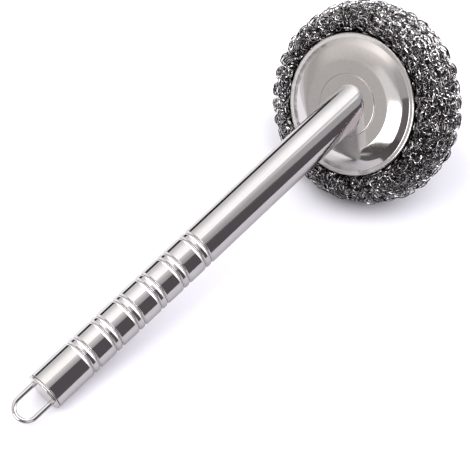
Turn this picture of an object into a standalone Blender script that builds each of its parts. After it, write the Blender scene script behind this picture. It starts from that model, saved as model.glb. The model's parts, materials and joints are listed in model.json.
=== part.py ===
"""Scouring brush with a round steel tube handle, lying on a table.

A ribbed tube handle runs up at a slant to a round pressed cover, which holds
a knitted wire scourer by claws on a central stud. A wire loop stands out of
the cap at the handle's free end. Metres, +Z up; the handle rises towards +X.
"""

import math

import bmesh
import bpy
from mathutils import Matrix, Vector

MM = 0.001

# ---------------------------------------------------------------- dimensions
# All in millimetres. Lengths along the handle start 0.45 mm inside the cap's
# outer face.
LEAN_DEG = 11.5           # slope of the handle as the brush lies
X_SHIFT = -95.04          # start of the handle in X, so that the length is centred
GAP = 0.3                 # clearance between pieces that touch

TUBE_R = 8.0
TUBE_WALL = 0.8
TUBE_START = 0.95
HUB_AT = 163.3            # where the handle's axis meets the boss
TUBE_STEPS = 36

RING_COUNT = 6
RING_FIRST = 20.65        # middle of the first pair of grooves
RING_PITCH = 11.89
GROOVE_APART = 3.1
GROOVE_HALF = 0.8
GROOVE_DEPTH = 0.5

CAP_R = 8.0475
CAP_FACE = -0.45
CAP_BACK = 0.65
CAP_REST = 0.15           # where the cap's rim is full and lies on the table
CAP_SKIRT_R = 6.9
CAP_SKIRT_WALL = 0.8
CAP_SKIRT_END = 9.0

LOOP_WIRE_R = 1.0
LOOP_LEG = 4.8            # from the handle's axis to each leg
LOOP_STRAIGHT = 8.7       # straight leg outside the cap
LOOP_TURN_DEG = 21.0      # the loop's plane about the handle's axis
LOOP_HOLE_R = 1.5
LOOP_HOOK_AT = 3.6
LOOP_HOOK_END = 1.6

HEAD_TILT_DEG = 45.0      # handle to the cover's axis
BOSS_TOP = 3.1            # above the lip's plane
HUB_OFF = 2.94            # handle's axis from the cover's centre, on the boss
COVER_T = 0.8
COVER_R = 28.7
SKIRT_DEPTH = 3.2
COVER_STEPS = 64

STUD_R = 2.5
STUD_HEAD_R = 10.0
STUD_END = -17.6
BORE_R = 2.8
CLAW_COUNT = 6
CLAW_WIDTH = 4.6
CLAW_T = 0.8

SCOURER_STEPS = 64
SCOURER_HOLE_R = 10.8
SCOURER_HOLE_END = -20.5

# ------------------------------------------------------------------- scene
for old in list(bpy.data.objects):
    bpy.data.objects.remove(old, do_unlink=True)

parts = bpy.data.collections.new("grill_brush")
cutters = bpy.data.collections.new("cutters")
bpy.context.scene.collection.children.link(parts)
bpy.context.scene.collection.children.link(cutters)
cutters.hide_render = True


def empty(name, parent=None, location=(0, 0, 0), rotation=(0, 0, 0)):
    obj = bpy.data.objects.new(name, None)
    obj.empty_display_size = 0.01
    parts.objects.link(obj)
    obj.parent = parent
    obj.location = [c * MM for c in location]
    obj.rotation_euler = rotation
    return obj


def material(name, colour, roughness, metallic):
    made = bpy.data.materials.new(name)
    made.use_nodes = True
    shader = made.node_tree.nodes["Principled BSDF"]
    shader.inputs["Base Color"].default_value = (*colour, 1.0)
    shader.inputs["Roughness"].default_value = roughness
    shader.inputs["Metallic"].default_value = metallic
    return made


def place(obj, parent, location=(0, 0, 0), rotation=(0, 0, 0)):
    obj.parent = parent
    obj.location = [c * MM for c in location]
    obj.rotation_euler = rotation


def mesh_object(name, bm, collection=parts, look=None, smooth=True):
    mesh = bpy.data.meshes.new(name)
    bm.to_mesh(mesh)
    bm.free()
    obj = bpy.data.objects.new(name, mesh)
    collection.objects.link(obj)
    if look:
        mesh.materials.append(look)
    if smooth and mesh.polygons:
        mesh.shade_smooth()
        mesh.set_sharp_from_angle(angle=math.radians(35))
    return obj


def turned(name, profile, steps, look=None, collection=parts, closed=False):
    """A profile of (radius, height) in millimetres, turned about local Z."""
    bm = bmesh.new()
    verts = [bm.verts.new((r * MM, 0, z * MM)) for r, z in profile]
    for a, b in zip(verts, verts[1:]):
        bm.edges.new((a, b))
    if closed:
        bm.edges.new((verts[-1], verts[0]))
    obj = mesh_object(name, bm, collection, look, smooth=False)
    screw = obj.modifiers.new("turn", "SCREW")
    screw.axis = "Z"
    screw.angle = math.tau
    screw.steps = screw.render_steps = steps
    screw.use_merge_vertices = True
    screw.merge_threshold = 0.00001
    screw.use_smooth_shade = True
    return obj


def as_cutter(obj):
    obj.hide_render = True
    obj.display_type = "WIRE"
    return obj


def box_cutter(name, size):
    bm = bmesh.new()
    bmesh.ops.create_cube(bm, size=1.0)
    bmesh.ops.scale(bm, vec=[c * MM for c in size], verts=bm.verts)
    return as_cutter(mesh_object(name, bm, cutters, smooth=False))


def cylinder_cutter(name, radius, length, steps=20):
    bm = bmesh.new()
    bmesh.ops.create_cone(
        bm, cap_ends=True, segments=steps,
        radius1=radius * MM, radius2=radius * MM, depth=length * MM,
    )
    return as_cutter(mesh_object(name, bm, cutters, smooth=False))


def boolean(obj, other, operation="DIFFERENCE"):
    mod = obj.modifiers.new(operation.lower(), "BOOLEAN")
    mod.operation = operation
    mod.solver = "EXACT"
    mod.object = other
    return mod


steel = material("polished_steel", (0.72, 0.71, 0.71), 0.12, 1.0)
cover_steel = material("pressed_steel", (0.70, 0.68, 0.67), 0.16, 1.0)
wire_steel = material("wire_steel", (0.74, 0.73, 0.73), 0.15, 1.0)
cap_steel = material("cap_steel", (0.68, 0.67, 0.67), 0.16, 1.0)
plain_steel = material("plain_steel", (0.55, 0.55, 0.56), 0.35, 1.0)
zinc = material("zinc_plate", (0.62, 0.63, 0.65), 0.30, 1.0)
spring_steel = material("spring_steel", (0.35, 0.35, 0.37), 0.35, 1.0)
braze = material("braze_metal", (0.50, 0.47, 0.42), 0.45, 1.0)
knit = material("knitted_wire", (0.20, 0.20, 0.21), 0.40, 1.0)

# ------------------------------------------------------------------- frames
# The brush lies on the cap's rim and the scourer's side.
lean = math.radians(LEAN_DEG)
cap_height = CAP_R * math.cos(lean) - CAP_REST * math.sin(lean)
brush_frame = empty(
    "brush_frame", None, (X_SHIFT, 0, cap_height), (0, -lean, 0)
)
TURN_TO_HANDLE = (0, math.radians(90), 0)   # local Z onto the handle's axis

tilt = math.radians(HEAD_TILT_DEG)
cover_normal = Vector((-math.cos(tilt), 0, math.sin(tilt)))
to_handle = Vector((-math.sin(tilt), 0, -math.cos(tilt)))
rim_centre = (
    Vector((HUB_AT, 0, 0)) - cover_normal * BOSS_TOP - to_handle * HUB_OFF
)
head_frame = empty("head_frame", brush_frame, rim_centre, (0, -tilt, 0))
pull_frame = empty("scourer_pull_axis", head_frame)

# -------------------------------------------------------------- handle tube


def groove(middle):
    """One rolled groove in the tube's outer side, (radius, height) upwards."""
    points = []
    for i in range(5):
        a = math.pi * i / 4
        z = middle - GROOVE_HALF * math.cos(a)
        points.append((TUBE_R - GROOVE_DEPTH * abs(math.sin(a)), z))
    return points


outer = [(TUBE_R, TUBE_START)]
for k in range(RING_COUNT):
    for side in (-0.5, 0.5):
        outer += groove(RING_FIRST + k * RING_PITCH + side * GROOVE_APART)
outer.append((TUBE_R, HUB_AT + 14))
inner = [(TUBE_R - TUBE_WALL, HUB_AT + 14), (TUBE_R - TUBE_WALL, TUBE_START)]
# Down the outer side, top to bottom, then up the bore.
profile = outer[::-1] + inner[::-1]
handle_tube = turned("handle_tube", profile, TUBE_STEPS, steel, closed=True)
place(handle_tube, brush_frame, rotation=TURN_TO_HANDLE)

foot_cut = box_cutter("cut_tube_foot", (60, 60, 40))
place(foot_cut, head_frame, (0, 0, BOSS_TOP + GAP - 20))
boolean(handle_tube, foot_cut)

# Fillet inside the tube's foot, which joins it to the boss.
ring_r = TUBE_R - TUBE_WALL - GAP
tube_braze_ring = turned(
    "tube_braze_ring",
    [(ring_r, HUB_AT + 12), (ring_r, HUB_AT - 14),
     (ring_r - 1.1, HUB_AT - 14), (ring_r - 1.1, HUB_AT + 12)],
    TUBE_STEPS, braze, closed=True,
)
place(tube_braze_ring, brush_frame, rotation=TURN_TO_HANDLE)
slab = box_cutter("keep_braze", (60, 60, 1.1))
place(slab, head_frame, (0, 0, BOSS_TOP + GAP + 0.55))
boolean(tube_braze_ring, slab, "INTERSECT")

# ------------------------------------------------------------------ end cap
cap_profile = [
    (0, CAP_BACK),
    (CAP_SKIRT_R - CAP_SKIRT_WALL, CAP_BACK),
    (CAP_SKIRT_R - CAP_SKIRT_WALL, CAP_SKIRT_END),
    (CAP_SKIRT_R, CAP_SKIRT_END),
    (CAP_SKIRT_R, CAP_BACK),
    (CAP_R - 0.12, CAP_BACK),
    (CAP_R, CAP_BACK - 0.12),
    (CAP_R, CAP_REST),
    (CAP_R - 0.07, CAP_FACE + 0.35),
    (CAP_R - 0.25, CAP_FACE + 0.13),
    (CAP_R - 0.55, CAP_FACE),
    (0, CAP_FACE),
]
end_cap = turned("end_cap", cap_profile, TUBE_STEPS, cap_steel)
place(end_cap, brush_frame, rotation=TURN_TO_HANDLE)

loop_frame = empty(
    "loop_frame", brush_frame, rotation=(math.radians(LOOP_TURN_DEG), 0, 0)
)
for name, side in (("cut_leg_hole_a", 1), ("cut_leg_hole_b", -1)):
    hole = cylinder_cutter(name, LOOP_HOLE_R, 2.6)
    place(hole, loop_frame, ((CAP_FACE + CAP_BACK) / 2, side * LOOP_LEG, 0), TURN_TO_HANDLE)
    boolean(end_cap, hole)

# ------------------------------------------------------------- hanging loop


def wire_object(name, points, radius, look, resolution=2):
    curve = bpy.data.curves.new(name, "CURVE")
    curve.dimensions = "3D"
    curve.bevel_depth = radius * MM
    curve.bevel_resolution = resolution
    curve.use_fill_caps = True
    spline = curve.splines.new("POLY")
    spline.points.add(len(points) - 1)
    for point, p in zip(spline.points, points):
        point.co = (*[c * MM for c in p], 1)
    curve.materials.append(look)
    obj = bpy.data.objects.new(name, curve)
    parts.objects.link(obj)
    return obj


def arc(cx, cy, radius, start, end, count):
    return [
        (cx + radius * math.cos(start + (end - start) * i / count),
         cy + radius * math.sin(start + (end - start) * i / count), 0)
        for i in range(count + 1)
    ]


bend = 1.5
half = [(LOOP_HOOK_AT, LOOP_HOOK_END, 0)]
half += arc(
    LOOP_HOOK_AT - bend, LOOP_LEG - bend, bend,
    0, math.pi / 2, 4,
)
tip = arc(-LOOP_STRAIGHT, 0, LOOP_LEG, math.pi / 2, 3 * math.pi / 2, 14)
other = [(x, -y, z) for x, y, z in half[::-1]]
hanging_loop = wire_object("hanging_loop", half + tip + other, LOOP_WIRE_R, wire_steel, 3)
place(hanging_loop, loop_frame)

# --------------------------------------------------------------- cover disc
# Outer side of the pressing, (radius, height over the lip), rim to centre.
cover_outer = [
    (COVER_R, -SKIRT_DEPTH),
    (COVER_R, -0.4), (COVER_R - 0.12, -0.12), (COVER_R - 0.4, 0.0),
    (26.95, 0.0), (26.6, 0.055), (26.3, 0.2), (25.1, 0.89), (24.5, 1.21),
    (23.5, 1.62), (22.5, 1.94), (21.5, 2.22), (20.5, 2.46), (19.5, 2.64),
    (18.5, 2.765), (17.4, 2.79), (12.75, 2.8), (12.4, BOSS_TOP), (0, BOSS_TOP),
]
cover_inner = [
    (0, BOSS_TOP - COVER_T), (12.2, BOSS_TOP - COVER_T), (12.6, 2.12),
    (13.2, 2.0), (17.5, 1.99), (19.5, 1.83), (21.5, 1.39), (23.5, 0.77),
    (25.1, -0.02), (25.9, -0.45), (26.5, -0.7), (27.1, -0.82),
    (COVER_R - COVER_T - 0.15, -1.1), (COVER_R - COVER_T, -SKIRT_DEPTH),
]
cover_disc = turned(
    "cover_disc", cover_outer[::-1] + cover_inner[::-1], COVER_STEPS, cover_steel
)
place(cover_disc, head_frame)

# --------------------------------------------------- stud, sleeve and washers
head_top = BOSS_TOP - COVER_T - GAP
center_stud = turned(
    "center_stud",
    [(0, head_top), (STUD_HEAD_R, head_top), (STUD_HEAD_R, head_top - 1.1),
     (STUD_R, head_top - 1.1), (STUD_R, STUD_END + 0.5),
     (STUD_R - 0.5, STUD_END), (0, STUD_END)],
    28, plain_steel,
)
place(center_stud, head_frame)


def ring(name, r_out, r_in, top, bottom, steps, look):
    obj = turned(
        name, [(r_out, top), (r_out, bottom), (r_in, bottom), (r_in, top)],
        steps, look, closed=True,
    )
    place(obj, head_frame)
    return obj


level = head_top - 1.1 - GAP
spacer_sleeve = ring("spacer_sleeve", 4.5, BORE_R, level, level - 6.0, 28, zinc)
level -= 6.0 + GAP
claw_top = level

# Base of the claw plate with the claws bent down from its edge.
claw_plate = ring("claw_plate", 7.6, BORE_R, claw_top, claw_top - 1.0, 36, spring_steel)
bm = bmesh.new()
for k in range(CLAW_COUNT):
    # A claw runs out from the plate, turns down, and its tip flares out.
    path = [(5.4, -0.5), (6.9, -0.5)]
    for i in range(1, 5):
        a = math.radians(90 - 84 * i / 4)
        path.append((6.9 + 1.7 * math.cos(a), -2.2 + 1.7 * math.sin(a)))
    path += [(8.8, -7.0), (9.0, -8.2), (9.55, -9.1), (9.95, -9.5)]
    turn = Matrix.Rotation(math.tau * k / CLAW_COUNT, 4, "Z")
    rows = []
    for r, z in path:
        rows.append([
            bm.verts.new(turn @ Vector((r * MM, y * CLAW_WIDTH / 2 * MM, (claw_top + z) * MM)))
            for y in (-1, 1)
        ])
    for a, b in zip(rows, rows[1:]):
        bm.faces.new((a[0], b[0], b[1], a[1]))
claws = as_cutter(mesh_object("claw_strips", bm, cutters, smooth=False))
thick = claws.modifiers.new("thickness", "SOLIDIFY")
thick.thickness = CLAW_T * MM
thick.offset = 0
place(claws, head_frame)
boolean(claw_plate, claws, "UNION")

level -= 1.0 + GAP
plain_washer = ring("plain_washer", 5.0, BORE_R, level, level - 0.9, 28, zinc)
level -= 0.9 + GAP
lock_washer = ring("lock_washer", 4.5, BORE_R, level, level - 1.2, 28, spring_steel)
split = box_cutter("cut_washer_split", (4.0, 0.7, 3.0))
place(split, head_frame, (3.9, 0, level - 0.6), (math.radians(24), 0, 0))
boolean(lock_washer, split)
level -= 1.2 + GAP

bm = bmesh.new()
bmesh.ops.create_cone(
    bm, cap_ends=True, segments=6, radius1=4.62 * MM, radius2=4.62 * MM, depth=3.9 * MM
)
hex_nut = mesh_object("hex_nut", bm, parts, zinc, smooth=False)
place(hex_nut, head_frame, (0, 0, level - 1.95))
chamfer = hex_nut.modifiers.new("chamfer", "BEVEL")
chamfer.width = 0.3 * MM
chamfer.segments = 1
chamfer.limit_method = "ANGLE"
chamfer.angle_limit = math.radians(80)
nut_bore = cylinder_cutter("cut_nut_bore", BORE_R, 8.0, 28)
place(nut_bore, head_frame, (0, 0, level - 1.95))
boolean(hex_nut, nut_bore)

# ------------------------------------------------------------------ scourer
# Outer form of the knitted pad, (radius, height), from its hole outwards.
pad_top = [
    (SCOURER_HOLE_R, -0.7), (22.0, -0.9), (24.6, -1.4), (27.3, -1.7),
    (27.3, -3.6), (29.3, -3.6),
    (29.6, -1.2), (30.4, 0.1), (32.0, 0.5),
]
pad_side = [
    (34.6, -0.5), (37.1, -3.2), (39.2, -7.3), (40.1, -12.0), (39.4, -16.7),
    (37.1, -21.2), (33.3, -25.7), (28.0, -29.5), (21.0, -32.3), (14.0, -33.0),
    (8.6, -31.6), (4.5, -29.2), (0, -28.4),
]
pad_profile = [(0, SCOURER_HOLE_END), (SCOURER_HOLE_R, SCOURER_HOLE_END)]
pad_profile += pad_top + pad_side
scourer_body = turned("scourer_body", pad_profile, SCOURER_STEPS, knit)
place(scourer_body, pull_frame)

# The pad's side is pressed flat where the brush lies on it.
table = box_cutter("cut_table", (300, 300, 60))
place(table, None, (0, 0, -30))
boolean(scourer_body, table)

# Wire tie that gathers the pad's working face.
tie_r, tie_wire = 4.4, 0.7
points = [
    (tie_r * math.cos(math.tau * i / 20), tie_r * math.sin(math.tau * i / 20), 0)
    for i in range(20)
]
curve_tie = wire_object("scourer_tie", points, tie_wire, wire_steel, 2)
curve_tie.data.splines[0].use_cyclic_u = True
place(curve_tie, pull_frame, (0, 0, -30.6))
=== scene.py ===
"""Looks of the scouring brush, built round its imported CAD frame. Metres, +Z up."""

import json
import math

import bpy
import numpy as np
from mathutils import Matrix, Vector

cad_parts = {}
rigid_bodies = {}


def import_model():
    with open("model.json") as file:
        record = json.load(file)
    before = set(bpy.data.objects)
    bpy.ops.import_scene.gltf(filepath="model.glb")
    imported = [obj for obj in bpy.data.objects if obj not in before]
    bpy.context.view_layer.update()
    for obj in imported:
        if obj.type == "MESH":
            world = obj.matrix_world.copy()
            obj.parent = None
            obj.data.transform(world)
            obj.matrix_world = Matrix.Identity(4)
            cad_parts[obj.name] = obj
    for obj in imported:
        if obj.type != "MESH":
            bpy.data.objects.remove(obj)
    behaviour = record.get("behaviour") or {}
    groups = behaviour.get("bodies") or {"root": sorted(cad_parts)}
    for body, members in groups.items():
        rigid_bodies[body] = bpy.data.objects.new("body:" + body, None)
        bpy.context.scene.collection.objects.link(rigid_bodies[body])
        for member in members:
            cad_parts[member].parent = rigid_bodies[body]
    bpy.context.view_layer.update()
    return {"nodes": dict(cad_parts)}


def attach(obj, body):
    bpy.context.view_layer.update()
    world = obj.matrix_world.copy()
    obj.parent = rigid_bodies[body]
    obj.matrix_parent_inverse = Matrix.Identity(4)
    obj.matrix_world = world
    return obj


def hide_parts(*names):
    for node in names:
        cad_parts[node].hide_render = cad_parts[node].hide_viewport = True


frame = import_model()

MM = 0.001

# ------------------------------------------------------------------- frames
# The same numbers as the CAD source has, in millimetres.
LEAN_DEG = 11.5
X_SHIFT = -95.04
TUBE_R, TUBE_WALL, TUBE_START = 8.0, 0.8, 0.95
HUB_AT = 163.3
RING_COUNT, RING_FIRST, RING_PITCH = 6, 20.65, 11.89
GROOVE_APART = 3.1
CAP_R, CAP_FACE, CAP_BACK, CAP_REST = 8.0475, -0.45, 0.65, 0.15
LOOP_WIRE_R, LOOP_LEG, LOOP_STRAIGHT, LOOP_TURN_DEG = 1.0, 4.8, 8.7, 21.0
LOOP_HOOK_AT, LOOP_HOOK_END = 3.6, 1.6
HEAD_TILT_DEG = 45.0
BOSS_TOP, HUB_OFF = 3.1, 2.94
COVER_R, COVER_T = 28.7, 0.8

lean, tilt = math.radians(LEAN_DEG), math.radians(HEAD_TILT_DEG)
cap_height = CAP_R * math.cos(lean) - CAP_REST * math.sin(lean)
brush_m = Matrix.Translation((X_SHIFT * MM, 0, cap_height * MM)) @ Matrix.Rotation(-lean, 4, "Y")
normal_l = Vector((-math.cos(tilt), 0, math.sin(tilt)))
foot_l = Vector((-math.sin(tilt), 0, -math.cos(tilt)))
rim_l = Vector((HUB_AT, 0, 0)) - normal_l * BOSS_TOP - foot_l * HUB_OFF
head_m = brush_m @ Matrix.Translation(rim_l * MM) @ Matrix.Rotation(-tilt, 4, "Y")
loop_m = brush_m @ Matrix.Rotation(math.radians(LOOP_TURN_DEG), 4, "X")

# ------------------------------------------------------------------- camera
eye = Vector((-310.74, -276.05, 594.20)) * MM
aim = Vector((1.746, -3.621, 20.0)) * MM
back = (eye - aim).normalized()
side = Vector((0, 0, 1)).cross(back).normalized()
over = back.cross(side)
roll = 0.082
cam_x = math.cos(roll) * side + math.sin(roll) * over
cam_y = -math.sin(roll) * side + math.cos(roll) * over
camera = bpy.data.objects.new("camera", bpy.data.cameras.new("camera"))
bpy.context.scene.collection.objects.link(camera)
turn = Matrix((cam_x, cam_y, back)).transposed().to_4x4()
camera.matrix_world = Matrix.Translation(eye) @ turn
camera.data.sensor_width = 36.0
camera.data.lens = 138.85
camera.data.clip_start, camera.data.clip_end = 0.02, 20.0
bpy.context.scene.camera = camera
bpy.context.scene.view_settings.view_transform = "Standard"
bpy.context.scene.view_settings.look = "None"


# -------------------------------------------------------------- node helpers
class Graph:
    """Short names for the nodes that the materials and the light are made of."""

    def __init__(self, tree, clear=True):
        self.tree = tree
        if clear:
            tree.nodes.clear()

    def node(self, kind, **settings):
        made = self.tree.nodes.new(kind)
        for key, value in settings.items():
            setattr(made, key, value)
        return made

    def put(self, socket, value):
        if isinstance(value, bpy.types.NodeSocket):
            self.tree.links.new(value, socket)
        elif value is not None:
            socket.default_value = value

    def math(self, operation, a, b=None, c=None):
        made = self.node("ShaderNodeMath", operation=operation)
        for socket, value in zip(made.inputs, (a, b, c)):
            self.put(socket, value)
        return made.outputs[0]

    def ramp(self, value, low, high, to_low=0.0, to_high=1.0, smooth=True):
        made = self.node("ShaderNodeMapRange", clamp=True)
        made.interpolation_type = "SMOOTHSTEP" if smooth else "LINEAR"
        for key, v in (("Value", value), ("From Min", low), ("From Max", high),
                       ("To Min", to_low), ("To Max", to_high)):
            self.put(made.inputs[key], v)
        return made.outputs["Result"]

    def mix(self, share, a, b):
        made = self.node("ShaderNodeMix", data_type="RGBA")
        self.put(made.inputs["Factor"], share)
        for socket, value in ((made.inputs[6], a), (made.inputs[7], b)):
            if isinstance(value, (tuple, list)):
                value = (*value[:3], 1.0)
            self.put(socket, value)
        return made.outputs[2]

    def place(self, scale=(1, 1, 1), source="Object"):
        where = self.node("ShaderNodeTexCoord")
        mapping = self.node("ShaderNodeMapping")
        mapping.inputs["Scale"].default_value = scale
        self.put(mapping.inputs["Vector"], where.outputs[source])
        return mapping.outputs["Vector"]

    def noise(self, where, scale, detail=3.0, rough=0.5, distortion=0.0):
        made = self.node("ShaderNodeTexNoise")
        self.put(made.inputs["Vector"], where)
        made.inputs["Scale"].default_value = scale
        made.inputs["Detail"].default_value = detail
        made.inputs["Roughness"].default_value = rough
        made.inputs["Distortion"].default_value = distortion
        return made.outputs["Fac"]

    def bump(self, height, strength, distance, under=None):
        made = self.node("ShaderNodeBump")
        made.inputs["Strength"].default_value = strength
        made.inputs["Distance"].default_value = distance
        self.put(made.inputs["Height"], height)
        if under is not None:
            self.put(made.inputs["Normal"], under)
        return made.outputs["Normal"]


def material(name):
    made = bpy.data.materials.new(name)
    made.use_nodes = True
    g = Graph(made.node_tree)
    out = g.node("ShaderNodeOutputMaterial")
    shader = g.node("ShaderNodeBsdfPrincipled")
    g.put(out.inputs["Surface"], shader.outputs[0])
    return made, g, shader


def steel(name, light, dark, rough, lines, line_scale, tint_scale=60.0,
          wave=0.0, wave_scale=90.0, line_bump=0.000004, rough_spread=0.05):
    """Bright steel: faint polishing lines, a cloudy tint and a slight wave."""
    made, g, shader = material(name)
    clouds = g.noise(g.place(), tint_scale, 4.0, 0.55)
    streaks = g.noise(g.place(lines), line_scale, 3.0, 0.6)
    share = g.math("ADD", g.math("MULTIPLY", clouds, 0.6), g.math("MULTIPLY", streaks, 0.4))
    g.put(shader.inputs["Base Color"], g.mix(g.ramp(share, 0.35, 0.65), dark, light))
    shader.inputs["Metallic"].default_value = 1.0
    g.put(shader.inputs["Roughness"],
          g.ramp(share, 0.3, 0.7, rough + rough_spread, rough, smooth=False))
    under = None
    if wave:
        under = g.bump(g.noise(g.place(), wave_scale, 1.0), 1.0, wave)
    g.put(shader.inputs["Normal"], g.bump(streaks, 0.35, line_bump, under))
    return made


tube_steel = steel("polished_tube", (0.74, 0.725, 0.73), (0.69, 0.675, 0.68), 0.05,
                   (0.12, 1.0, 1.0), 2600.0, wave=0.00002, wave_scale=70.0)
cover_steel = steel("polished_cover", (0.74, 0.715, 0.705), (0.69, 0.67, 0.66), 0.055,
                    (1.0, 1.0, 1.0), 900.0, wave=0.00001, wave_scale=60.0)
cap_steel = steel("polished_cap", (0.75, 0.74, 0.74), (0.69, 0.68, 0.68), 0.13,
                  (1.0, 1.0, 1.0), 1400.0)
loop_steel = steel("bright_wire", (0.77, 0.76, 0.765), (0.70, 0.69, 0.695), 0.08,
                   (0.3, 1.0, 1.0), 1800.0)
# The rolled grooves are a little duller than the tube between them.
g = Graph(tube_steel.node_tree, clear=False)
shader = next(n for n in tube_steel.node_tree.nodes if n.type == "BSDF_PRINCIPLED")
spot = g.node("ShaderNodeSeparateXYZ")
g.put(spot.inputs[0], g.place())
radius = g.math("SQRT", g.math("ADD", g.math("MULTIPLY", spot.outputs[1], spot.outputs[1]),
                               g.math("MULTIPLY", spot.outputs[2], spot.outputs[2])))
gloss = shader.inputs["Roughness"].links[0].from_socket
g.put(shader.inputs["Roughness"], g.math("ADD", gloss, g.ramp(radius, 0.0076, 0.0079, 0.10, 0.0)))
# The pressed lip round the cover is more satin than the rest, most on +Y.
g = Graph(cover_steel.node_tree, clear=False)
shader = next(n for n in cover_steel.node_tree.nodes if n.type == "BSDF_PRINCIPLED")
spot = g.node("ShaderNodeSeparateXYZ")
g.put(spot.inputs[0], g.place())
radius = g.math("SQRT", g.math("ADD", g.math("MULTIPLY", spot.outputs[0], spot.outputs[0]),
                               g.math("MULTIPLY", spot.outputs[1], spot.outputs[1])))
far_half = g.math("MAXIMUM", g.ramp(spot.outputs[1], -0.004, 0.008),
                  g.ramp(g.math("SUBTRACT", spot.outputs[1], g.math("MULTIPLY", spot.outputs[0], 1.2)), 0.002, 0.012))
satin = g.math("MULTIPLY", g.ramp(radius, 0.0238, 0.0246), g.math("MULTIPLY", far_half, 0.22))
satin = g.math("ADD", satin, g.ramp(radius, 0.0264, 0.0270, 0.0, 0.03))
# The step round the boss is a dull crease, and painted shade darkens its colour there.
crease_dullness_and_shade = g.math("MULTIPLY", g.ramp(radius, 0.01234, 0.01246), g.ramp(radius, 0.01268, 0.01284, 1.0, 0.0))
satin = g.math("ADD", satin, g.math("MULTIPLY", crease_dullness_and_shade, 0.22))
# Painted shade: the colour in the crease is mixed towards dark grey.
tint = shader.inputs["Base Color"].links[0].from_socket
g.put(shader.inputs["Base Color"], g.mix(g.math("MULTIPLY", crease_dullness_and_shade, 0.6), tint, (0.20, 0.19, 0.19)))
gloss = shader.inputs["Roughness"].links[0].from_socket
g.put(shader.inputs["Roughness"], g.math("ADD", gloss, satin))
plain_steel = steel("turned_steel", (0.56, 0.56, 0.57), (0.44, 0.44, 0.46), 0.26,
                    (1.0, 1.0, 6.0), 500.0, line_bump=0.00002)
zinc = steel("zinc_plate", (0.66, 0.67, 0.70), (0.56, 0.56, 0.54), 0.24,
             (1.0, 1.0, 1.0), 700.0, tint_scale=240.0, line_bump=0.00001)
spring_steel = steel("spring_steel", (0.36, 0.36, 0.39), (0.24, 0.24, 0.27), 0.28,
                     (1.0, 1.0, 1.0), 900.0, tint_scale=180.0, line_bump=0.00001)
braze = steel("braze", (0.56, 0.50, 0.40), (0.30, 0.27, 0.24), 0.40,
              (1.0, 1.0, 1.0), 800.0, tint_scale=500.0, line_bump=0.00005)


def wire_with_painted_glints(name, light, dark, rough, along=True):
    """Flat bright wire that has been rolled: gloss changes along it, and its colour is painted dark with painted bright
    glints along it.
    """
    made, g, shader = material(name)
    clouds = g.noise(g.place(), 160.0, 3.0, 0.6)
    if along:
        stretch = g.node("ShaderNodeMapping")
        stretch.inputs["Scale"].default_value = (62.0, 420.0, 1.0)
        g.put(stretch.inputs["Vector"], g.node("ShaderNodeUVMap", uv_map="OFBake").outputs["UV"])
        specks = g.noise(stretch.outputs["Vector"], 1.0, 2.0, 0.6)
    else:
        specks = g.noise(g.place(), 1100.0, 2.0, 0.6)
    share = g.math("ADD", g.math("MULTIPLY", clouds, 0.15), g.math("MULTIPLY", specks, 0.85))
    # Painted glints: the colour is mostly near black, with bright flecks along the wire that stand in for glints.
    g.put(shader.inputs["Base Color"], g.mix(g.ramp(share, 0.505, 0.56), dark, light))
    shader.inputs["Metallic"].default_value = 1.0
    g.put(shader.inputs["Roughness"], g.ramp(share, 0.4, 0.6, rough + 0.12, rough, smooth=False))
    return made


# The top wires carry painted glints; the middle and under wires are darker copies of the same wire, painted shade for
# how deep they lie.
knit_wire = wire_with_painted_glints("knit_wire", (0.96, 0.945, 0.955), (0.030, 0.029, 0.030), 0.06)
knit_middle_painted_shade = wire_with_painted_glints("knit_wire_middle_painted_shade", (0.34, 0.332, 0.338), (0.026, 0.025, 0.026), 0.12)
knit_under_painted_shade = wire_with_painted_glints("knit_wire_under_painted_shade", (0.11, 0.1055, 0.109), (0.025, 0.024, 0.025), 0.20)
tie_wire = wire_with_painted_glints("tie_wire", (0.50, 0.49, 0.50), (0.30, 0.295, 0.30), 0.16, along=False)

# Painted shade: the knit's depth is near black, with faint lighter lines of wire.
core_painted_shade, g, shader = material("knit_depth_painted_shade")
cells = g.node("ShaderNodeTexVoronoi", feature="DISTANCE_TO_EDGE")
g.put(cells.inputs["Vector"], g.place())
cells.inputs["Scale"].default_value = 620.0
specks = g.noise(g.place(), 1500.0, 3.0, 0.6)
lines = g.math("MULTIPLY", g.ramp(cells.outputs["Distance"], 0.0, 0.12, 1.0, 0.0), specks)
g.put(shader.inputs["Base Color"],
      g.mix(g.ramp(lines, 0.25, 0.6), (0.008, 0.0078, 0.0083), (0.040, 0.0388, 0.040)))
shader.inputs["Metallic"].default_value = 0.85
g.put(shader.inputs["Roughness"], g.ramp(lines, 0.2, 0.6, 0.75, 0.4))
g.put(shader.inputs["Normal"], g.bump(lines, 0.8, 0.0004))


# -------------------------------------------------------------- mesh helpers
def mesh_piece(name, verts, faces, matrix, look, body, smooth=True, sharp_deg=None):
    """A mesh from points in millimetres of the frame that matrix places."""
    mesh = bpy.data.meshes.new(name)
    mesh.from_pydata([tuple(c * MM for c in v) for v in verts], [], faces)
    mesh.update()
    mesh.materials.append(look)
    obj = bpy.data.objects.new(name, mesh)
    bpy.context.scene.collection.objects.link(obj)
    obj.matrix_world = matrix
    if smooth:
        mesh.shade_smooth()
        if sharp_deg:
            mesh.set_sharp_from_angle(angle=math.radians(sharp_deg))
    if body:
        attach(obj, body)
    return obj


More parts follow.
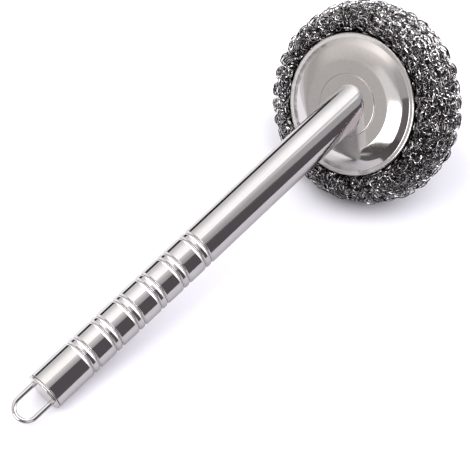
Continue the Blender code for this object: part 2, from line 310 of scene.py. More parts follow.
def turned(rows, steps, closed=False):
    """Points and faces of a section of (radius, height) turned about Z."""
    verts, index, faces = [], [], []
    for r, z in rows:
        if r < 1e-9:
            index.append([len(verts)] * steps)
            verts.append((0.0, 0.0, z))
        else:
            index.append(list(range(len(verts), len(verts) + steps)))
            verts += [
                (r * math.cos(math.tau * k / steps), r * math.sin(math.tau * k / steps), z)
                for k in range(steps)
            ]
    pairs = list(zip(index, index[1:]))
    if closed:
        pairs.append((index[-1], index[0]))
    for a, b in pairs:
        for k in range(steps):
            m = (k + 1) % steps
            ring = []
            for v in (a[k], a[m], b[m], b[k]):
                if v not in ring:
                    ring.append(v)
            if len(ring) > 2:
                faces.append(ring)
    return verts, faces


def curve_through(points, per=4, corners=()):
    """A smooth line through points, with sharp turns at the listed ones."""
    pts = [Vector((*p, 0)) if len(p) == 2 else Vector(p) for p in points]
    out = []
    for i in range(len(pts) - 1):
        a, b = pts[i], pts[i + 1]
        before = pts[i - 1] if i > 0 and i not in corners else a * 2 - b
        after = pts[i + 2] if i + 2 < len(pts) and i + 1 not in corners else b * 2 - a
        length = max((b - a).length, 1e-6)
        ta = (b - before) * (length / max((b - a).length + (a - before).length, 1e-6))
        tb = (after - a) * (length / max((after - b).length + (b - a).length, 1e-6))
        for k in range(per):
            t = k / per
            h = t * t * (3 - 2 * t)
            out.append(a * (1 - h) + b * h + ta * (t * (1 - t) ** 2) - tb * (t * t * (1 - t)))
    out.append(pts[-1])
    return out


def swept_wire(points, radius, sides, closed=False):
    """A round wire along points in millimetres, with flat or no ends."""
    p = [Vector(q) for q in points]
    n = len(p)
    verts, faces = [], []
    guide = None
    for i in range(n):
        a = p[(i - 1) % n] if closed or i else p[0]
        b = p[(i + 1) % n] if closed or i < n - 1 else p[-1]
        t = (b - a).normalized()
        if guide is None:
            guide = t.orthogonal().normalized()
        guide = (guide - t * guide.dot(t)).normalized()
        other = t.cross(guide)
        for k in range(sides):
            q = math.tau * k / sides
            verts.append(p[i] + (guide * math.cos(q) + other * math.sin(q)) * radius)
    for i in range(n if closed else n - 1):
        j = (i + 1) % n
        for k in range(sides):
            m = (k + 1) % sides
            faces.append((i * sides + k, i * sides + m, j * sides + m, j * sides + k))
    if not closed:
        faces.append(tuple(range(sides))[::-1])
        faces.append(tuple((n - 1) * sides + k for k in range(sides)))
    return [tuple(v) for v in verts], faces


def flip(faces):
    return [tuple(f)[::-1] for f in faces]


# -------------------------------------------------------------- handle tube
STEPS = 144


# Depth under the tube's surface at places across one rolled groove.
GROOVE_X = [-1.4, -1.15, -0.85, -0.52, -0.26, -0.05, 0.05, 0.58, 0.70, 0.84]
GROOVE_H = [0.0, 0.025, 0.12, 0.29, 0.46, 0.62, 0.62, 0.055, 0.01, 0.0]
fine = np.linspace(-1.6, 1.2, 561)
groove_fine = np.interp(fine, GROOVE_X, GROOVE_H)
blur = np.exp(-np.linspace(-2, 2, 29) ** 2)
groove_fine = np.convolve(np.pad(groove_fine, 14, mode="edge"), blur / blur.sum(), mode="valid")


def ring_radius(x):
    """Outer radius at x: pairs of rolled grooves with a long and a short wall."""
    r = TUBE_R
    for k in range(RING_COUNT):
        for side_of in (-1, 1):
            d = x - (RING_FIRST + k * RING_PITCH + side_of * GROOVE_APART / 2)
            if -1.6 < d < 1.2:
                r -= float(np.interp(d, fine, groove_fine))
    return r


stations = [TUBE_START, TUBE_START + 0.05, TUBE_START + 0.15, TUBE_START + 0.4, 3, 6, 10, 14]
for k in range(RING_COUNT):
    m = RING_FIRST + k * RING_PITCH
    stations += [m + d for d in np.linspace(-3.2, 2.8, 121)]
    stations += [m + 5.9, m + 7.7]
stations = sorted(set(round(float(s), 4) for s in stations if s < RING_FIRST + 5 * RING_PITCH + 4))
last = stations[-1]


def foot_x(radius, angle, lift):
    """Where a line along the tube meets the boss's face."""
    reach = BOSS_TOP + lift - math.sin(tilt) * (radius * math.sin(angle) - rim_l.z)
    return rim_l.x - reach / math.cos(tilt)


verts, faces = [], []
angles = [math.tau * k / STEPS for k in range(STEPS)]


def add_ring(radius_of, x_of):
    start = len(verts)
    for q in angles:
        r = radius_of(q)
        verts.append((x_of(q), r * math.cos(q), r * math.sin(q)))
    return start


rings = []
for s in stations:
    edge = {0: 0.12, 1: 0.05}.get(stations.index(s), 0.0)
    rings.append(add_ring(lambda q, s=s, e=edge: ring_radius(s) - e, lambda q, s=s: s))
for share in np.linspace(0.03, 0.985, 26):
    rings.append(add_ring(
        lambda q: TUBE_R,
        lambda q, w=share: last + (foot_x(TUBE_R, q, 0.6) - last) * w))
# A narrow ground weld runs round the foot.
for share in np.linspace(1, 0, 9):
    grown, lift = 0.3 * (1 - share) ** 2, 0.05 + 0.5 * share
    rings.append(add_ring(lambda a, w=grown: TUBE_R + w, lambda a, w=grown, h=lift: foot_x(TUBE_R + w, a, h)))
for r, lift in ((TUBE_R + 0.28, 0.02), (TUBE_R - TUBE_WALL + 0.05, 0.02), (TUBE_R - TUBE_WALL, 0.1)):
    rings.append(add_ring(lambda q, r=r: r, lambda q, r=r, w=lift: foot_x(r, q, w)))
inner = TUBE_R - TUBE_WALL
for x in (140.0, 110.0, 80.0, 50.0, 20.0, TUBE_START):
    rings.append(add_ring(lambda q: inner, lambda q, x=x: x))
rings.append(rings[0])
for a, b in zip(rings, rings[1:]):
    for k in range(STEPS):
        m = (k + 1) % STEPS
        faces.append((a + k, a + m, b + m, b + k))
tube = mesh_piece("handle_tube_shape", verts, flip(faces), brush_m, tube_steel, "brush", sharp_deg=50)
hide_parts("handle_tube")

# ------------------------------------------------------------------ end cap
TO_HANDLE = Matrix.Rotation(math.radians(90), 4, "Y")
face = [(0, 0.10), (3.0, 0.09), (5.6, 0.06), (6.8, 0.02), (7.4, 0.0)]
bead = [(CAP_R - 0.55 + 0.55 * math.sin(q), 0.55 - 0.55 * math.cos(q))
        for q in np.linspace(0.15, math.pi / 2, 9)]
bead += [(CAP_R, 0.7), (CAP_R, 0.9), (CAP_R - 0.02, 1.0), (CAP_R - 0.08, 1.07), (CAP_R - 0.2, 1.1)]
inside = [(6.9, 1.1), (6.9, 9.45), (6.1, 9.45), (6.1, 1.1), (0, 1.1)]
verts, faces = turned(face + bead + inside, 144)
cap = mesh_piece("end_cap_shape", verts, flip(faces), brush_m @ Matrix.Translation((CAP_FACE * MM, 0, 0)) @ TO_HANDLE,
                 cap_steel, None, sharp_deg=40)
for side_of in (1, -1):
    drill_v, drill_f = turned([(0, -1), (1.6, -1), (1.6, 3), (0, 3)], 40)
    drill = mesh_piece("drill", drill_v, flip(drill_f), loop_m @ Matrix.Translation(
        (0, side_of * LOOP_LEG * MM, 0)) @ TO_HANDLE, cap_steel, None, smooth=False)
    cut = cap.modifiers.new("hole", "BOOLEAN")
    cut.operation, cut.solver, cut.object = "DIFFERENCE", "EXACT", drill
    bpy.context.view_layer.update()
    cut_mesh = bpy.data.meshes.new_from_object(
        cap.evaluated_get(bpy.context.evaluated_depsgraph_get()))
    cap.modifiers.clear()
    cap.data = cut_mesh
    bpy.data.objects.remove(drill)
cap.data.shade_smooth()
cap.data.set_sharp_from_angle(angle=math.radians(38))
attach(cap, "brush")
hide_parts("end_cap")

# ------------------------------------------------------------- hanging loop
turn_r = 1.5
path = [(LOOP_HOOK_AT, LOOP_HOOK_END, 0), (LOOP_HOOK_AT, 2.4, 0)]
path += [(LOOP_HOOK_AT - turn_r + turn_r * math.cos(q), LOOP_LEG - turn_r + turn_r * math.sin(q), 0)
         for q in np.linspace(0, math.pi / 2, 10)]
path += [(x, LOOP_LEG, 0) for x in (1.0, -1.0, -3.5, -6.0)]
path += [(-LOOP_STRAIGHT + LOOP_LEG * math.cos(q), LOOP_LEG * math.sin(q), 0)
         for q in np.linspace(math.pi / 2, math.pi, 22)]
path += [(x, -y, z) for x, y, z in path[::-1][1:]]
verts, faces = swept_wire(path, LOOP_WIRE_R, 24)
loop = mesh_piece("hanging_loop_shape", verts, faces, loop_m, loop_steel, "brush", sharp_deg=60)
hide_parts("hanging_loop")

# --------------------------------------------------------------- cover disc
# The top falls from the flat ring round the boss to the flat lip. Its section
# is worked out from its slope, in degrees, along the radius.
SLOPE_R = [12.8, 17.4, 18.0, 18.5, 19.5, 20.5, 21.5, 22.5, 23.4, 23.8, 24.3, 24.8, 26.62, 26.8, 28.1]
SLOPE = [0.0, 0.1, 1.5, 5.0, 9.5, 12.5, 15.0, 17.5, 19.7, 22.0, 27.0, 31.0, 31.0, 0.0, 0.0]
reach = np.linspace(12.8, 28.1, 205)
fall = np.tan(np.radians(np.interp(reach, SLOPE_R, SLOPE)))
fall = np.concatenate([[0.0], np.cumsum((fall[1:] + fall[:-1]) / 2 * np.diff(reach))])
fall *= 2.8 / fall[-1]
outer = [Vector((r, 3.1, 0)) for r in (0.0, 4.0, 8.0, 11.0, 12.2)]
outer += [Vector((12.38 + 0.36 * t, 3.1 - 0.3 * t * t * (3 - 2 * t), 0)) for t in np.linspace(0, 1, 11)]
outer += [Vector((r, 2.8 - d, 0)) for r, d in zip(reach, fall)]
outer += [Vector((28.1 + 0.65 * math.sin(q), 0.65 * math.cos(q) - 0.65, 0)) for q in np.linspace(0, math.pi / 2, 13)[1:]]
outer += [Vector(p) for p in ((28.75, -1.2, 0), (28.75, -2.2, 0), (28.72, -3.1, 0), (28.62, -3.2, 0), (27.98, -3.2, 0))]
inner_side = curve_through(
    [(27.9, -3.1), (27.9, -1.5), (27.6, -0.98), (27.1, -0.82), (26.5, -0.7), (25.9, -0.45), (25.1, -0.02),
     (24.5, 0.31), (23.5, 0.77), (22.5, 1.10), (21.5, 1.39), (20.5, 1.64), (19.5, 1.83), (18.5, 1.95), (17.5, 1.99),
     (14.6, 1.99), (13.2, 2.0), (12.6, 2.12), (12.2, 2.28), (11.7, 2.3), (6, 2.3), (0, 2.3)], per=3)
verts, faces = turned([(p.x, p.y) for p in outer + inner_side], 256)
cover = mesh_piece("cover_disc_shape", verts, flip(faces), head_m, cover_steel, "brush", sharp_deg=50)
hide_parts("cover_disc")

# ------------------------------------------- inner pieces keep their CAD form
for node, look in (
    ("tube_braze_ring", braze), ("center_stud", plain_steel), ("spacer_sleeve", zinc),
    ("claw_plate", spring_steel), ("plain_washer", zinc), ("lock_washer", spring_steel), ("hex_nut", zinc),
):
    data = frame["nodes"][node].data
    if not data.materials:
        data.materials.append(look)
    for slot in frame["nodes"][node].material_slots:
        slot.material = look

# ------------------------------------------------------------------ scourer
# Knitted flat wire: courses run round the pad and wales run from its hole,
# over its side, to the middle of its working face.
WALES = 35
POINTS = 16                # along one stitch
rng = np.random.default_rng(11)
head_np = np.array(head_m)


def dense_line(points, step=0.1):
    line = np.array([(p.x, p.y) for p in curve_through(points, per=16)])
    gone = np.concatenate([[0], np.cumsum(np.linalg.norm(np.diff(line, axis=0), axis=1))])
    at = np.arange(0, gone[-1], step)
    return at, np.stack([np.interp(at, gone, line[:, 0]), np.interp(at, gone, line[:, 1])], 1)


class Sheet:
    """A round knitted surface, given by its section of (radius, height)."""

    def __init__(self, points, sink):
        self.at, line = dense_line(points)
        along = np.gradient(line, axis=0)
        along /= np.linalg.norm(along, axis=1, keepdims=True)
        self.out = np.stack([-along[:, 1], along[:, 0]], 1)
        self.line = line - self.out * sink
        self.length = self.at[-1]

    def read(self, s):
        s = np.clip(s, 0, self.length)
        return (np.stack([np.interp(s, self.at, self.line[:, k]) for k in (0, 1)], -1),
                np.stack([np.interp(s, self.at, self.out[:, k]) for k in (0, 1)], -1))


def smooth_noise(count, values):
    """count samples round a closed line through random values, eased."""
    t = np.linspace(0, len(values), count, endpoint=False)
    i = t.astype(int)
    w = t - i
    w = w * w * (3 - 2 * w)
    return values[i] * (1 - w) + values[(i + 1) % len(values)] * w


waves = [(rng.integers(2, 9), rng.uniform(0.02, 0.13), rng.uniform(0, 6.28), rng.uniform(0.6, 1.0))
         for _ in range(9)]


def warp(theta, s, shift):
    """Slow unevenness of the whole pad, the same for neighbouring wires."""
    total = np.zeros_like(theta)
    for k, (turns, rate, phase, size) in enumerate(waves):
        total += size * np.sin(turns * theta + rate * s * (1 if k % 2 else -1) + phase + shift)
    return total / len(waves)


def to_world(local):
    return local @ head_np[:3, :3].T + head_np[:3, 3] / MM


def press_down(world):
    """Wires that would reach the table are laid flat on it."""
    z = world[:, 2]
    low = z < 1.5
    z[low] = 0.22 + 1.28 * np.exp((z[low] - 1.5) / 1.28)
    return world


def course(sheet, s0, strand, wire_half=0.18, thick_half=0.05, sink=0.0, phase=0.0,
           loop=2.3, lean_by=0.20, ridge=0.85, face=0.25, jitter=1.0, nest=0.12,
           stand=0.0):
    """One wire that goes round the pad as a row of stitches."""
    count = WALES * POINTS
    t = np.arange(count) * math.tau / POINTS
    grow = 1 + 0.14 * strand
    s_noise = smooth_noise(count, rng.normal(0, 0.30 * jitter, WALES * 2))
    a_noise = smooth_noise(count, rng.normal(0, 0.050 * jitter, WALES * 2))
    n_noise = smooth_noise(count, rng.normal(0, 0.22 * jitter, WALES * 2))
    h_noise = smooth_noise(count, rng.normal(1, 0.14 * jitter, WALES))
    kinks = [smooth_noise(count, rng.normal(0, 0.11 * jitter, WALES * 5)) for _ in range(3)]
    turn = t / math.tau        # stitches gone
    base = (turn + phase) * math.tau / WALES
    slow_s = 0.5 * warp(base, s0, 0.0)
    slow_a = 0.25 * warp(base, s0, 2.1)
    s = s0 + loop * grow * h_noise * np.cos(t) + s_noise + slow_s + kinks[0]
    theta = base + (lean_by * grow * np.sin(2 * t) + a_noise + slow_a) * math.tau / WALES + 0.0016 * s
    at, out = sheet.read(s)
    tight = np.clip(at[:, 0] * math.tau / WALES / 5.6, 0.18, 1.0)
    theta = theta + kinks[1] / np.maximum(at[:, 0], 8.0)
    lift = (-face * np.cos(2 * t) + ridge * np.cos(t) + n_noise + nest * strand) * np.clip(tight + 0.2, 0, 1)
    lift += 0.3 * warp(theta, s * 1.4, 4.0) - sink + kinks[2]
    # Folds gather towards the middle of the working face.
    fold = np.clip((17 - at[:, 0]) / 12, 0, 1) * np.where(out[:, 1] < -0.4, 1, 0)
    lift += fold * (0.5 * np.sin(19 * theta + 0.6) + 0.35 * np.sin(31 * theta + s * 0.2))
    point = at + out * lift[:, None]
    # The rim of the cover holds the knit back, more on the +X and -Y side.
    by_rim = point[:, 1] > -3.4
    held = np.clip(0.25 + np.cos(theta + math.radians(41)), 0.04, 1.0)
    room = np.where(point[:, 0] > 26.0, 29.02 + held * np.clip((point[:, 1] + 1.2) / 1.5, 0, 1.5), 0)
    # On the other side the loops nestle against it.
    point[by_rim, 0] -= ((1 - held) * np.clip((32.5 - point[:, 0]) / 3.0, 0, 1) * 0.9)[by_rim]
    point[by_rim, 0] = np.maximum(point[by_rim, 0], room[by_rim])
    ring = np.stack([np.cos(theta), np.sin(theta)], 1)
    local = np.stack([point[:, 0] * ring[:, 0], point[:, 0] * ring[:, 1], point[:, 1]], 1)
    normal = np.stack([out[:, 0] * ring[:, 0], out[:, 0] * ring[:, 1], out[:, 1]], 1)
    world = press_down(to_world(local))
    up = normal @ head_np[:3, :3].T
    along = np.roll(world, -1, 0) - np.roll(world, 1, 0)
    along /= np.maximum(np.linalg.norm(along, axis=1, keepdims=True), 1e-9)
    flat = np.cross(along, up)
    flat /= np.maximum(np.linalg.norm(flat, axis=1, keepdims=True), 1e-9)
    rise = np.cross(flat, along)
    twist = smooth_noise(count, rng.normal(0, 0.9, WALES * 4))[:, None]
    twist += (stand * np.sqrt(np.clip(np.cos(t), 0, 1)))[:, None]
    a = flat * np.cos(twist) + rise * np.sin(twist)
    b = rise * np.cos(twist) - flat * np.sin(twist)
    slim = np.clip(tight * 1.5, 0.45, 1.0)[:, None]
    a, b = a * wire_half * slim, b * thick_half * slim
    return np.stack([world + a, world + b, world - a, world - b], 1)


def wire_piece(name, wires, look):
    """One object of many closed wires, with a baking map laid out in rows."""
    count = WALES * POINTS
    total = len(wires)
    verts = (np.concatenate([w.reshape(-1, 3) for w in wires]) * MM).astype(np.float32)
    k = np.arange(count)
    nxt = (k + 1) % count
    faces = []
    for m in range(4):
        n = (m + 1) % 4
        faces.append(np.stack([k * 4 + m, nxt * 4 + m, nxt * 4 + n, k * 4 + n], 1))
    one = np.stack(faces, 1).reshape(-1, 4)
    quads = (one[None] + (np.arange(total) * count * 4)[:, None, None]).reshape(-1, 4)
    mesh = bpy.data.meshes.new(name)
    mesh.vertices.add(len(verts))
    mesh.vertices.foreach_set("co", verts.ravel())
    mesh.loops.add(quads.size)
    mesh.loops.foreach_set("vertex_index", quads.astype(np.int32).ravel())
    mesh.polygons.add(len(quads))
    mesh.polygons.foreach_set("loop_start", (np.arange(len(quads)) * 4).astype(np.int32))
    mesh.update(calc_edges=True)
    # The map: each wire is cut into lengths that lie side by side.
    lengths = 4
    per = count // lengths
    across, down = 1.0 / per, 1.0 / (total * lengths)
    seg = np.repeat(k, 4)
    part = np.tile(np.arange(4), count)
    row = seg // per
    u0 = (seg % per) * across
    v0 = row * down + down * (0.08 + 0.21 * part)
    uv = np.stack([
        np.stack([u0, v0], 1), np.stack([u0 + across, v0], 1),
        np.stack([u0 + across, v0 + 0.2 * down], 1), np.stack([u0, v0 + 0.2 * down], 1),
    ], 1)
    every = uv[None] + np.stack(
        [np.zeros(total), np.arange(total) * lengths * down], 1)[:, None, None, :]
    layer = mesh.uv_layers.new(name="OFBake", do_init=False)
    layer.uv.foreach_set("vector", every.astype(np.float32).ravel())
    mesh.shade_smooth()
    # The wire's long edges are sharp, so its flat faces glint one at a time.
    ends = np.empty(len(mesh.edges) * 2, dtype=np.int32)
    mesh.edges.foreach_get("vertices", ends)
    ends = ends.reshape(-1, 2)
    lengthwise = ends[:, 0] // 4 != ends[:, 1] // 4
    sharp = mesh.attributes.new("sharp_edge", "BOOLEAN", "EDGE")
    sharp.data.foreach_set("value", lengthwise)
    mesh.materials.append(look)
    obj = bpy.data.objects.new(name, mesh)
    bpy.context.scene.collection.objects.link(obj)
    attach(obj, "scourer")
    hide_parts("scourer_body")
    return obj


outside = Sheet(
    [(29.5, -4.0), (29.1, -2.2), (29.1, -0.8), (29.5, 0.15), (30.4, 0.85), (31.7, 1.1), (33.3, 0.8), (35.0, -0.25), (37.1, -3.1),
     (39.2, -7.3), (40.1, -12.0), (39.4, -16.7), (37.1, -21.2), (33.3, -25.7), (28.0, -29.5), (21.0, -32.3),
     (14.0, -33.0), (8.6, -31.6), (4.5, -29.4), (1.6, -28.6)], sink=0.6)
under_cover = Sheet([(11.6, -1.3), (16.0, -0.9), (22.0, -1.2), (25.0, -1.8), (27.2, -2.4)], sink=0.6)
bore = Sheet([(11.5, -20.3), (11.4, -12.0), (11.5, -2.0)], sink=-0.1)

COURSE = 2.5
top_wires, low_wires, deep_wires = [], [], []
rows = int((outside.length - 1.5) / COURSE)
drift_a = np.cumsum(rng.normal(0, 0.05, rows))
drift_b = 0.5 + np.cumsum(rng.normal(0.05, 0.16, rows))
drift_c = np.cumsum(rng.normal(0, 0.4, rows))
for j in range(rows):
    s0 = 1.6 + j * COURSE
    for strand in (-1, 1):
        top_wires.append(course(outside, s0 + 0.5 * strand, strand, phase=drift_a[j] + 0.03 * strand,
                                sink=0.1, ridge=1.15, face=-0.3, nest=0.4, stand=1.4, wire_half=0.23))
    for strand in (-1, 1):
        top_wires.append(course(outside, s0 + 1.2 + 0.6 * strand, strand, phase=drift_b[j] * strand, sink=0.75,
                                jitter=1.6, ridge=0.5))
    for strand in (-1, 0, 1):
        low_wires.append(course(outside, s0 + 0.9 * strand, strand, sink=1.25, phase=drift_c[j] + 0.3 * strand,
                                jitter=1.8, ridge=0.5))
    for strand in (-0.7, 0.7):
        deep_wires.append(course(outside, s0 + 0.4 + 0.8 * strand, strand, sink=1.9, phase=0.25 - drift_c[j],
                                 jitter=1.8, ridge=0.4, wire_half=0.26))
hidden_wires = []
for j in range(int(under_cover.length / 2.6)):
    for strand in (-0.7, 0.7):
        hidden_wires.append(course(under_cover, 1.0 + j * 2.6, strand, ridge=0.2, face=0.15, jitter=0.7))
for j in range(int(bore.length / 2.8)):
    hidden_wires.append(course(bore, 1.0 + j * 2.8, 0, ridge=0.12, face=0.12, jitter=0.5, sink=0.0))


def in_pieces(name, wires, look, most=34):
    parts = math.ceil(len(wires) / most)
    for i in range(parts):
        wire_piece(f"{name}_{i + 1}", wires[i * len(wires) // parts:(i + 1) * len(wires) // parts], look)


in_pieces("scourer_knit", top_wires, knit_wire)
in_pieces("scourer_knit_middle", low_wires, knit_middle_painted_shade)
in_pieces("scourer_knit_under", deep_wires, knit_under_painted_shade)
in_pieces("scourer_knit_hole", hidden_wires, knit_under_painted_shade)

# Deep wires that don't show singly: a rough body inside the knit, painted near black as the shade deep in the knit.
core_line = [(p.x, p.y) for p in curve_through(
    [(0, -22.2), (11.0, -22.2), (12.8, -21.6), (13.0, -20.0), (13.0, -3.5), (13.8, -2.7), (20.0, -2.6), (26.4, -3.6),
     (27.4, -4.6), (29.2, -4.7), (30.6, -3.2), (32.0, -1.9), (34.0, -2.5), (36.0, -4.6), (37.5, -8.0), (38.2, -12.0),
     (37.6, -16.2), (35.6, -20.2), (32.1, -24.3), (27.3, -27.7), (20.7, -30.3), (14.0, -31.0), (9.2, -29.8),
     (5.0, -27.7), (2.0, -26.9), (0, -26.8)], per=4)]
verts, faces = turned(core_line, 216)
co = np.array(verts)
radial = np.hypot(co[:, 0], co[:, 1])
angle = np.arctan2(co[:, 1], co[:, 0])
bumps = 0.28 * np.sin(angle * WALES + co[:, 2] * 1.1) * np.sin(co[:, 2] * 2.3 + radial * 1.9)
shrink = np.where(radial > 27.5, -0.8, 0.0) + bumps * (radial > 14)
co[:, 0] += np.cos(angle) * shrink
co[:, 1] += np.sin(angle) * shrink
co[:, 2] += np.where(co[:, 2] < -22.3, 0.6, 0.0)
world = to_world(co)
world[:, 2] = np.maximum(world[:, 2], 0.9)
core = mesh_piece("scourer_core", world.tolist(), flip(faces), Matrix.Identity(4), core_painted_shade, "scourer")
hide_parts("scourer_body")

# Wire tie: three uneven turns that gather the middle of the working face.
tie = []
for k, (r, z) in enumerate(((4.1, -30.2), (4.5, -30.6), (4.3, -31.0))):
    q = np.linspace(0, math.tau, 72, endpoint=False)
    wobble = 0.16 * np.sin(3 * q + k * 2.0) + 0.08 * np.sin(7 * q + k)
    tie.append((q, r + wobble, z + 0.2 * np.sin(2 * q + k * 2.4)))
verts, faces = [], []
for q, r, z in tie:
    v, f = swept_wire([(a * math.cos(b), a * math.sin(b), c) for b, a, c in zip(q, r, z)], 0.26, 10, closed=True)
    faces += [tuple(i + len(verts) for i in one) for one in f]
    verts += v
tie_piece = mesh_piece("scourer_tie_wire", verts, faces, head_m, tie_wire, "scourer")
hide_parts("scourer_tie")

# ------------------------------------------------------------ floor and light
floor_mat, g, shader = material("paper_floor")
grain = g.noise(g.place(), 700.0, 4.0, 0.6)
seen = g.node("ShaderNodeLightPath").outputs["Is Camera Ray"]
paper = g.mix(grain, (0.895, 0.88, 0.94), (0.925, 0.91, 0.965))
# Reflected rays see a painted reflection of the floor: greyer than the paper, painted dark towards the front and
# lighter in a band on +Y.
ground = g.node("ShaderNodeSeparateXYZ")
g.put(ground.inputs[0], g.node("ShaderNodeTexCoord").outputs["Object"])
front = g.math("ADD", g.math("MULTIPLY", ground.outputs[0], 1.1), g.math("ADD", ground.outputs[1], 0.142))
painted_floor_reflection = g.mix(g.ramp(front, -0.004, 0.004), (0.045, 0.043, 0.045),
                 g.mix(g.math("MULTIPLY", g.ramp(ground.outputs[1], 0.0, 0.012),
                              g.ramp(ground.outputs[1], 0.155, 0.175, 1.0, 0.0)),
                       (0.43, 0.42, 0.437), (0.64, 0.625, 0.65)))
# Painted light: reflected rays see a pale patch of floor round the foot of the end cap.
off_x, off_y = g.math("ADD", ground.outputs[0], 0.100), g.math("ADD", ground.outputs[1], -0.004)
painted_light_by_cap = g.math("SQRT", g.math("ADD", g.math("MULTIPLY", off_x, off_x), g.math("MULTIPLY", off_y, off_y)))
painted_floor_reflection = g.mix(g.ramp(painted_light_by_cap, 0.007, 0.012, 1.0, 0.0), painted_floor_reflection, (0.86, 0.82, 0.85))
# Painted reflection: after two bounces the floor is a plain grey.
again = g.ramp(g.node("ShaderNodeLightPath").outputs["Ray Depth"], 1.4, 1.6)
painted_floor_reflection = g.mix(again, painted_floor_reflection, (0.25, 0.245, 0.253))
g.put(shader.inputs["Base Color"], g.mix(seen, painted_floor_reflection, paper))
g.put(shader.inputs["Roughness"], g.ramp(grain, 0.2, 0.8, 0.85, 0.95))
shader.inputs["Specular IOR Level"].default_value = 0.1
mesh = bpy.data.meshes.new("floor")
mesh.from_pydata([(-0.5, -0.24, -0.0001), (0.5, -0.24, -0.0001), (0.5, 0.36, -0.0001), (-0.5, 0.36, -0.0001)],
                 [], [(0, 1, 2, 3)])
mesh.materials.append(floor_mat)
floor = bpy.data.objects.new("floor", mesh)
bpy.context.scene.collection.objects.link(floor)



def soft_sun(name, energy, spread_deg, towards, colour, on_floor):
    """A distant soft lamp that lights either the paper or the metal."""
    lamp = bpy.data.objects.new(name, bpy.data.lights.new(name, "SUN"))
    lamp.data.energy = energy
    lamp.data.angle = math.radians(spread_deg)
    lamp.data.color = colour
    bpy.context.scene.collection.objects.link(lamp)
    lamp.rotation_mode = "QUATERNION"
    lamp.rotation_quaternion = Vector(towards).normalized().to_track_quat("Z", "Y")
    lamp.visible_glossy = not on_floor
    lamp.visible_diffuse = on_floor


soft_sun("glint", 2.3, 40, (0.58, -0.12, 0.80), (1.0, 0.985, 0.97), False)
knitted = bpy.data.collections.new("knitted")
for obj in bpy.context.scene.objects:
    if obj.name.startswith("scourer_"):
        knitted.objects.link(obj)
bpy.data.objects["glint"].light_linking.receiver_collection = knitted
soft_sun("overhead", 1.9, 110, (0.0, 0.0, 1.0), (0.985, 0.98, 1.0), True)
soft_sun("front_side", 2.0, 60, (0.25, -0.40, 0.88), (0.985, 0.98, 1.0), True)
soft_sun("far_side", 2.3, 60, (-0.45, 0.40, 0.80), (1.0, 0.995, 0.985), True)

# A studio round the brush: pale walls, a bright panel above the far side, a
# window behind the handle's end and a dark side towards -Y.
world_light = bpy.data.worlds.new("studio")
bpy.context.scene.world = world_light
world_light.use_nodes = True
world_light.cycles_visibility.diffuse = False
g = Graph(world_light.node_tree)
where = g.node("ShaderNodeTexCoord")
axis = g.node("ShaderNodeSeparateXYZ")
g.put(axis.inputs[0], where.outputs["Generated"])
x, y, z = axis.outputs
DEG = 180 / math.pi
el = g.math("MULTIPLY", g.math("ARCSINE", z), DEG)
al = g.math("MULTIPLY", g.math("ARCTAN2", y, g.math("MULTIPLY", x, -1.0)), DEG)


def add(*terms):
    total = terms[0]
    for t in terms[1:]:
        total = g.math("ADD", total, t)
    return total


def times(*terms):
    total = terms[0]
    for t in terms[1:]:
        total = g.math("MULTIPLY", total, t)
    return total


def between(value, a, b, c, d):
    return times(g.ramp(value, a, b), g.ramp(value, c, d, 1.0, 0.0))


def lerp(share, a, b):
    return add(times(a, g.math("SUBTRACT", 1.0, share)), times(b, share))


high = add(g.ramp(el, 5, 19, 0.48, 0.76), g.ramp(el, 24, 52, 0.0, 0.33), g.ramp(el, 40, 70, 0.0, 0.30))
low = add(g.ramp(el, 0, 45, 0.52, 0.45), g.ramp(el, 58, 100, 0.0, 0.5))
open_side = g.math("MAXIMUM", g.ramp(al, -10, 60), g.ramp(al, -172, -140, 1.0, 0.0))
light = lerp(open_side, low, high)
# The dark side, its top edge falling towards the window.
top = add(51.0, times(-0.36, g.math("MAXIMUM", g.math("ADD", al, 45.0), 0.0)),
          g.ramp(al, -87, -45, 11.0, 0.0, smooth=False), g.ramp(al, -100, -87, -9.0, 0.0, smooth=False),
          g.ramp(al, -108, -100, -22.0, 0.0, smooth=False))
over_top = g.math("SUBTRACT", el, top)
dark = times(between(al, -117.5, -114.5, -27, -24), g.ramp(over_top, -0.8, 0.8, 1.0, 0.0))
wedge = times(between(al, -30, -27, -14, -5), between(el, 33, 35, 41, 45))
light = lerp(g.math("MAXIMUM", dark, wedge), light, g.ramp(al, -70, -35, 0.105, 0.17))
# A pale gap in the dark side, which the cover's rim shows.
gap = times(between(al, -80, -77, -56, -52), between(el, -1, 2, 44, 50))
light = lerp(gap, light, 1.0)
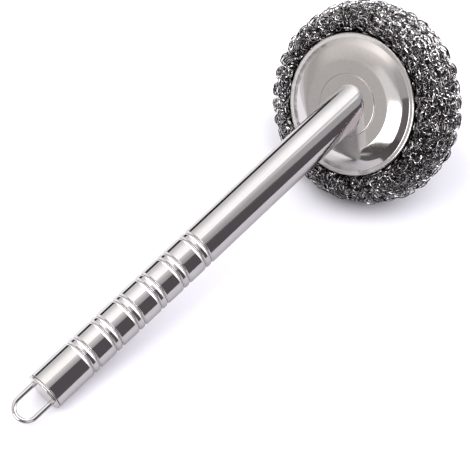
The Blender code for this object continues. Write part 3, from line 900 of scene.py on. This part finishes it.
# The window and the dark strip under it.
edge = g.math("SUBTRACT", 17.0, times(0.035, g.math("POWER", g.math("SUBTRACT", el, 8.0), 2.0)))
window = times(g.ramp(al, -25, -21), g.ramp(g.math("SUBTRACT", edge, al), -0.8, 0.8), between(el, 8.2, 9.4, 33, 35))
halo = times(between(al, -30, -24, 19, 26), between(el, 13, 18, 36, 44))
light = lerp(window, lerp(halo, light, 0.86), 4.5)
strip = times(between(al, -60, -40, 13, 16), between(el, -90, -89, 8, 9.2))
light = lerp(strip, light, 0.095)
line = times(between(al, 94.5, 96, 112, 120), between(el, -5, -4, 12.9, 14.3))
# A lamp panel beyond the head, which only wires and edges show.
behind = g.ramp(g.math("ABSOLUTE", al), 124, 130)
light = lerp(times(g.math("MAXIMUM", behind, g.ramp(al, -118, -115, 1.0, 0.0)), g.ramp(el, 66, 80, 1.0, 0.0)),
             light, 1.3)
panel = times(behind, between(el, 12, 18, 62, 68))
light = lerp(panel, light, 3.6)
below = times(g.ramp(el, -1.0, 0.0, 1.0, 0.0), between(al, -117, -114, -5, 5))
light = lerp(below, light, 0.10)
light = lerp(times(g.ramp(el, -1.0, 0.0, 1.0, 0.0), g.ramp(al, -5, 5)), light, 0.55)
light = lerp(line, light, 0.03)
ray = g.node("ShaderNodeLightPath")
# What is seen by way of two mirrors is a plain soft grey.
light = lerp(g.ramp(ray.outputs["Ray Depth"], 2.4, 2.6), light, g.ramp(el, 0, 12, 0.45, 0.85))
tint = g.mix(between(al, 10, 30, 70, 95), (1.0, 0.985, 0.985), (1.0, 0.955, 0.93))
tint = g.mix(dark, tint, (1.0, 0.90, 0.965))
glow = g.node("ShaderNodeBackground")
g.put(glow.inputs["Color"], tint)
g.put(glow.inputs["Strength"], light)
pale = g.node("ShaderNodeBackground")
pale.inputs["Color"].default_value = (0.94, 0.94, 0.95, 1)
pale.inputs["Strength"].default_value = 1.0
choose = g.node("ShaderNodeMixShader")
g.put(choose.inputs[0], ray.outputs["Is Camera Ray"])
g.put(choose.inputs[1], glow.outputs[0])
g.put(choose.inputs[2], pale.outputs[0])
out = g.node("ShaderNodeOutputWorld")
g.put(out.inputs["Surface"], choose.outputs[0])
